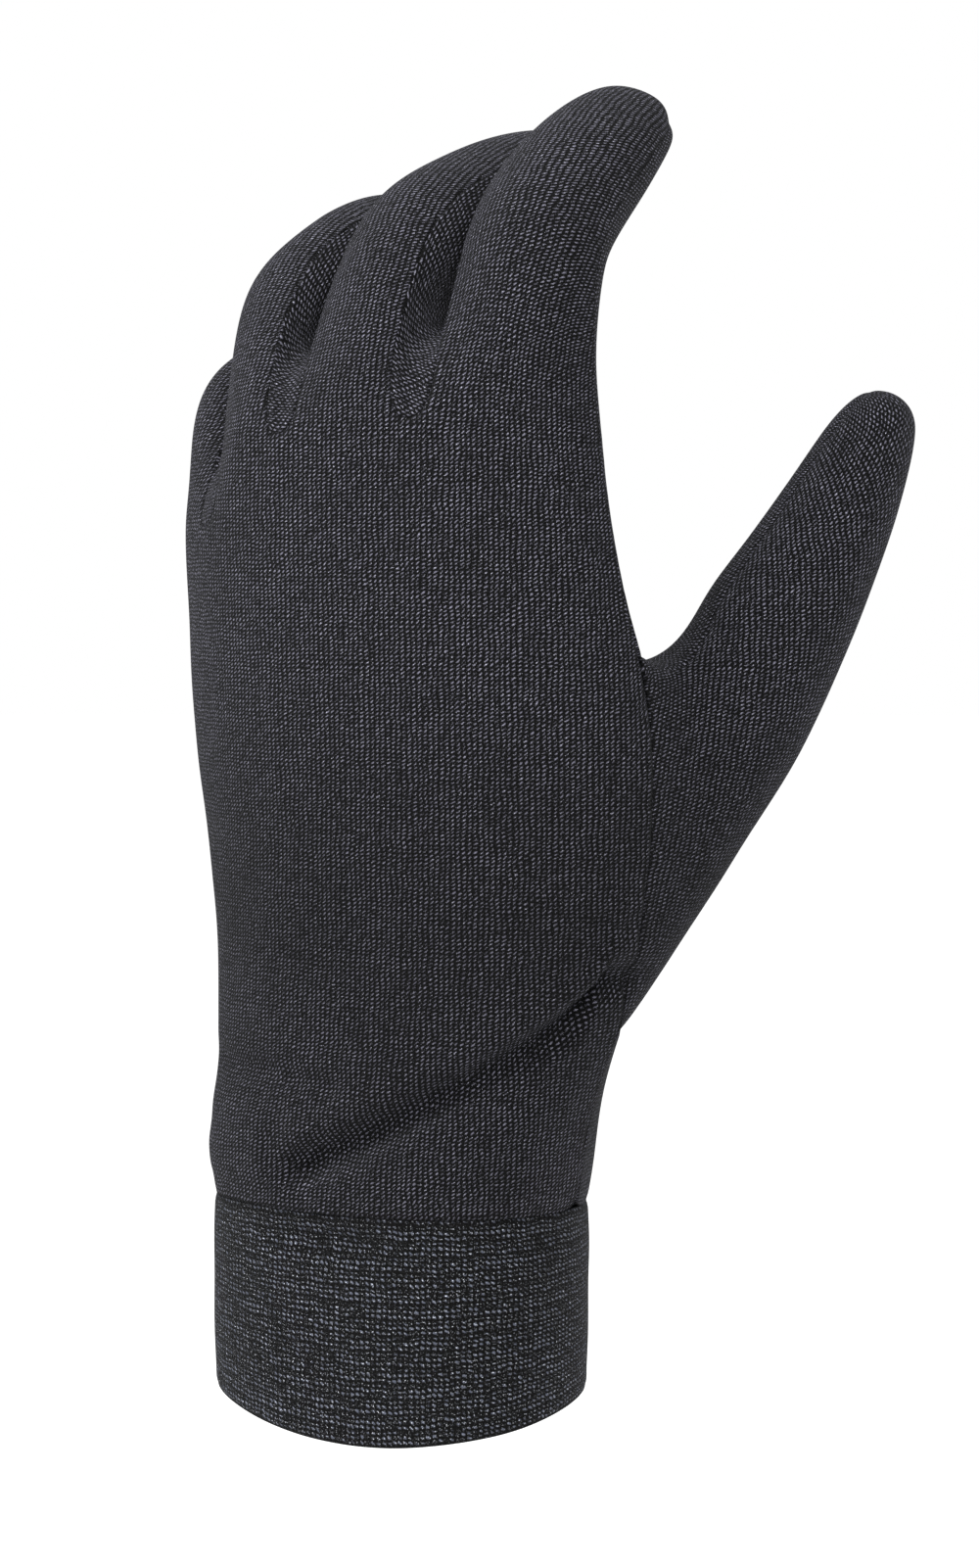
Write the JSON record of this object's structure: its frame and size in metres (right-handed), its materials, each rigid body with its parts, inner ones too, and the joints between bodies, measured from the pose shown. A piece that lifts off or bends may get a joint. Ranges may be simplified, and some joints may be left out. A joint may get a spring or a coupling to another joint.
{
  "type": "glove liner",
  "caption": "Fine knit glove liner in the form it has when worn: curled fingers with strips sewn between them, a set-in thumb and an open ribbed cuff",
  "frame": {"origin": "the middle of the open end of the cuff, where the wrist goes in; the hem of the back of the cuff lies at z = 0", "axes": "+Z runs from the cuff to the fingers, -Y is the side of the back of the hand, +Y the palm side, and +X the thumb side"},
  "size_m": [0.1305, 0.0703, 0.239],
  "materials": {
    "jersey": "matte fine jersey knit, charcoal with a faint heather",
    "rib": "matte knit with elastic rows laid in across it, black"
  },
  "bodies": {
    "root": {"back_panel": "jersey", "palm_panel": "jersey", "fourchette_little_ring": "jersey", "fourchette_ring_middle": "jersey", "fourchette_middle_index": "jersey", "thumb": "jersey", "cuff": "rib"}
  },
  "joints": []
}
